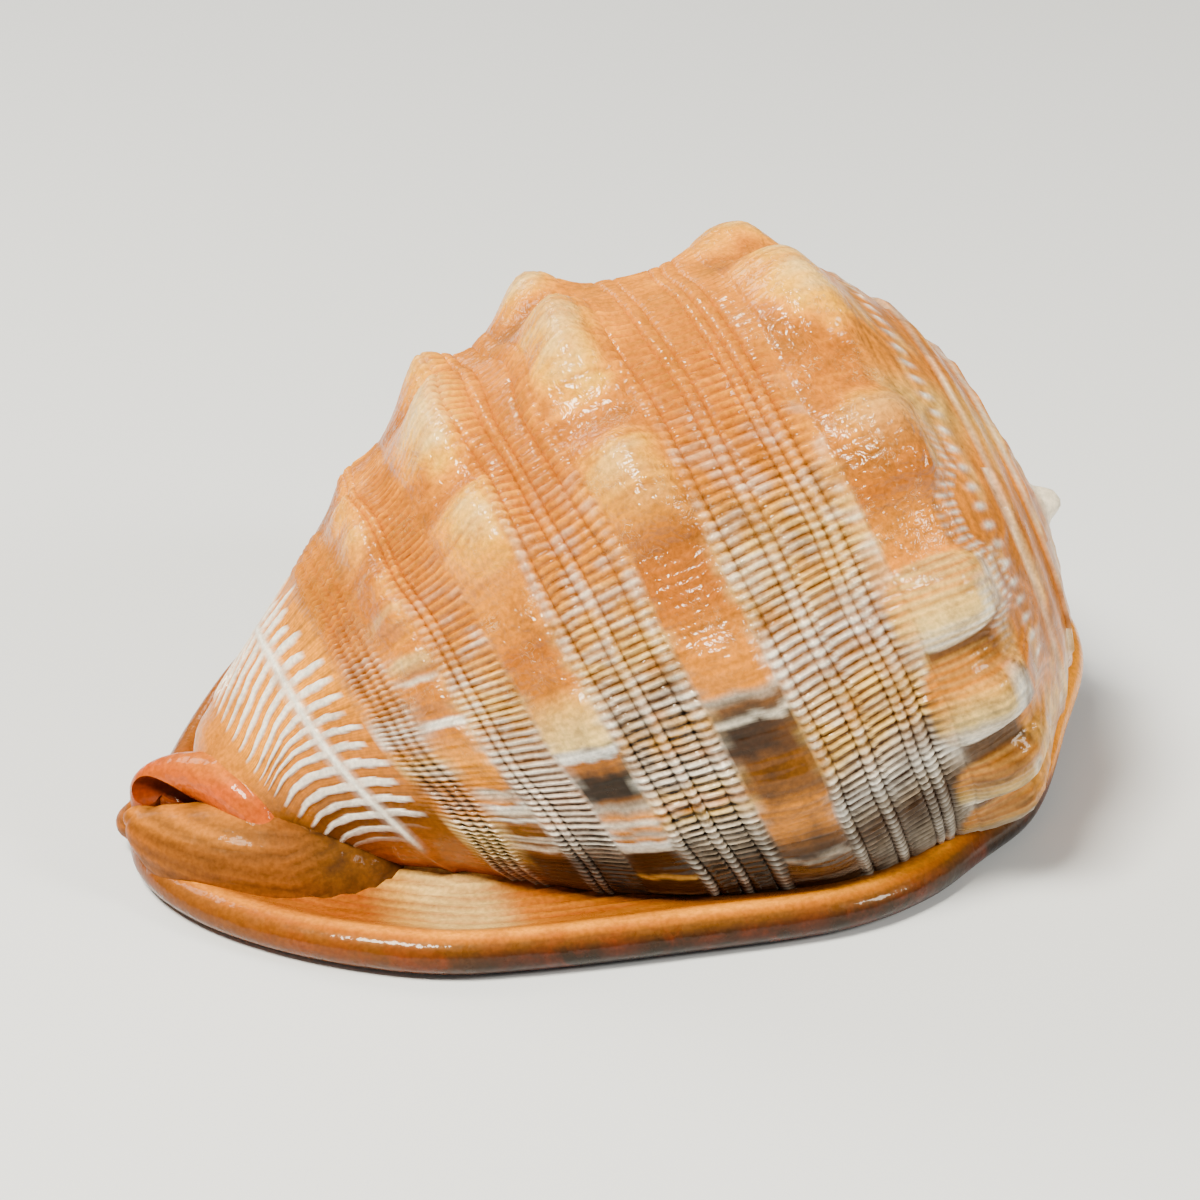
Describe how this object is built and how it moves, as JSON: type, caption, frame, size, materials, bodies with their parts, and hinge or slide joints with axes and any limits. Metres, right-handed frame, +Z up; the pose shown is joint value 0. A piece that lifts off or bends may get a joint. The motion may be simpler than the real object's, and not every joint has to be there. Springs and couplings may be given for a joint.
{
  "type": "helmet shell",
  "caption": "Hollow coiled sea shell lying on its opening, with rows of knobs over the back, a wide flat shield round a toothed slit, and a short canal turned up at the front.",
  "frame": {"origin": "middle of the shell's footprint, on the surface that it lies on", "axes": "+X towards the spire, +Y towards the outer lip, +Z up from the opening to the back"},
  "size_m": [0.1528, 0.1113, 0.0861],
  "materials": {
    "shell": "glossy, worn smooth on the knobs"
  },
  "bodies": {
    "root": {"shell": "shell"}
  },
  "joints": []
}
